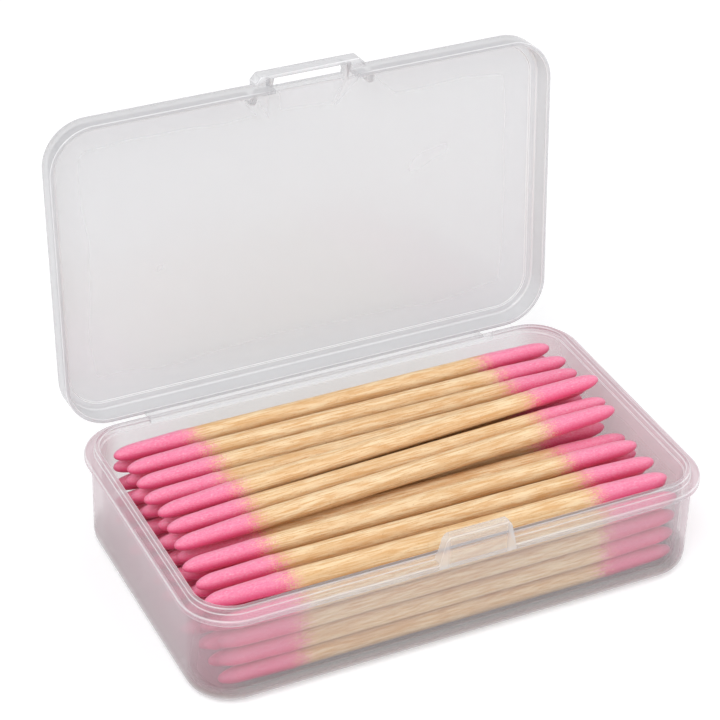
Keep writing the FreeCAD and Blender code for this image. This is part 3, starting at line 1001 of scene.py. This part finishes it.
def hinge_points():
    """Ends of the web's middle line, at the flange's back edge and at the open lid's rim, as Y and Z."""
    angle = math.radians(OPENING_ANGLE)
    axis_y = BOX_WIDTH / 2
    axis_z = RIM_HEIGHT - HINGE_DROP
    rim = LID_RIM_GAP + HINGE_DROP
    depth = LID_INSET + (SKIRT_THICKNESS - HINGE_WEB) / 4 + HINGE_WEB / 2
    start = np.array([axis_y, RIM_HEIGHT - FLANGE_THICKNESS / 2])
    end = np.array([
        axis_y + rim * math.sin(angle) - depth * math.cos(angle),
        axis_z + depth * math.sin(angle) + rim * math.cos(angle),
    ])
    return start, end


def make_hinge(plastic):
    """The web: a thin closed strip that dips in the middle, where it bends.

    With t from 0 to 1 along its run, its thickness is HINGE_WEB times
    1 - WEB_THINNING e^-((t - 1/2) / WEB_BEND)^2. Its ends are buried in its neighbours.
    """
    start, end = hinge_points()
    run = end - start
    across = np.array([-run[1], run[0]]) / np.linalg.norm(run)
    t = np.linspace(-WEB_BURIED, 1 + WEB_BURIED, WEB_POINTS)[:, None]
    middle = start + run * t
    half = HINGE_WEB / 2 * (1 - WEB_THINNING * np.exp(-((t - 0.5) / WEB_BEND) ** 2))
    outline = np.concatenate([middle + across * half, (middle - across * half)[::-1]])
    count = len(outline)
    x = np.linspace(-HINGE_LENGTH / 2, HINGE_LENGTH / 2, WEB_STATIONS)
    grid = np.concatenate([np.broadcast_to(x[:, None, None], (len(x), count, 1)),
                           np.broadcast_to(outline[None], (len(x), count, 2))], -1)
    ring = np.arange(len(x) - 1)[:, None] * count
    here = np.arange(count)[None]
    beyond = (here + 1) % count
    quads = np.stack([ring + here, ring + count + here, ring + count + beyond, ring + beyond], -1)
    last = (len(x) - 1) * count
    faces = quads.reshape(-1, 4).tolist() + [list(range(count)), [last + i for i in range(count)][::-1]]
    piece = mesh_piece("hinge_web", grid.reshape(-1, 3), faces, plastic)
    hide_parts("living_hinge")
    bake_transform(piece)


# Stage, light and camera


def make_floor():
    """A pale floor that shows white, and takes the object's soft shadow."""
    p = Paintwork("floor_paint")
    rays = p.add("LightPath")
    seen = p.maths("MAXIMUM", rays.outputs["Is Camera Ray"], rays.outputs["Is Glossy Ray"])
    seen = p.maths("MAXIMUM", seen, rays.outputs["Is Transmission Ray"])
    p.surface("Base Color", FLOOR_COLOUR)
    p.surface("Roughness", 0.9)
    p.surface("Specular IOR Level", 0.1)
    p.surface("Emission Color", WHITE)
    p.surface("Emission Strength", p.times(seen, FLOOR_GLOW))
    corners = [(-1, -1), (1, -1), (1, 1), (-1, 1)]
    points = np.array([[x * FLOOR_HALF, y * FLOOR_HALF, FLOOR_LEVEL] for x, y in corners])
    floor = mesh_piece("floor", points, [[0, 1, 2, 3]], p.material)


def make_world():
    """A white world that looks brighter than the light it gives."""
    world = bpy.data.worlds.new("studio")
    bpy.context.scene.world = world
    world.use_nodes = True
    nodes = world.node_tree.nodes
    links = world.node_tree.links
    background = nodes["Background"]
    rays = nodes.new("ShaderNodeLightPath")
    seen = nodes.new("ShaderNodeMath")
    seen.operation = "MAXIMUM"
    links.new(rays.outputs["Is Camera Ray"], seen.inputs[0])
    links.new(rays.outputs["Is Transmission Ray"], seen.inputs[1])
    level = nodes.new("ShaderNodeMapRange")
    level.inputs["To Min"].default_value = WORLD_LIGHT
    level.inputs["To Max"].default_value = WORLD_SEEN
    links.new(seen.outputs[0], level.inputs["Value"])
    links.new(level.outputs["Result"], background.inputs["Strength"])
    background.inputs["Color"].default_value = WHITE


def add_lamp(name, place, target, size, power):
    """A square soft lamp; places and size in millimetres, power in watts."""
    data = bpy.data.lights.new(name, "AREA")
    data.shape = "SQUARE"
    data.size = size * MM
    data.energy = power
    lamp = bpy.data.objects.new(name, data)
    lamp.location = Vector(place) * MM
    lamp.rotation_euler = (Vector(target) - Vector(place)).to_track_quat("-Z", "Y").to_euler()
    bpy.context.scene.collection.objects.link(lamp)


def make_camera():
    """A camera at its place, aimed at its target and rolled about the line between them."""
    place = Vector(CAMERA_PLACE) * MM
    forward = (Vector(CAMERA_TARGET) * MM - place).normalized()
    right = forward.cross(Vector((0, 0, 1))).normalized()
    up = right.cross(forward)
    roll = math.radians(CAMERA_ROLL)
    turned_right = right * math.cos(roll) + up * math.sin(roll)
    turned_up = up * math.cos(roll) - right * math.sin(roll)
    data = bpy.data.cameras.new("camera")
    data.lens = CAMERA_LENS
    data.sensor_width = SENSOR_WIDTH
    data.clip_start = CLIP_START
    camera = bpy.data.objects.new("camera", data)
    axes = Matrix((turned_right, turned_up, -forward)).transposed()
    camera.matrix_world = Matrix.Translation(place) @ axes.to_4x4()
    bpy.context.scene.collection.objects.link(camera)
    bpy.context.scene.camera = camera


bpy.context.scene.view_settings.view_transform = "Standard"
make_camera()
make_world()
make_floor()
for lamp in LAMPS:
    add_lamp(*lamp)
make_swabs(swab_material("stick_wood", cotton=False), swab_material("tip_cotton", cotton=True))
make_tray(plastic_material("tray_plastic", clear=0.09, turn=0.4, line=0.42, milk=198, box=True))
make_lid(plastic_material("lid_plastic", clear=0.33, turn=0.45, line=0.4, milk=200))
make_hinge(plastic_material("hinge_plastic", clear=0.2, turn=0.2, line=0.0, milk=238))
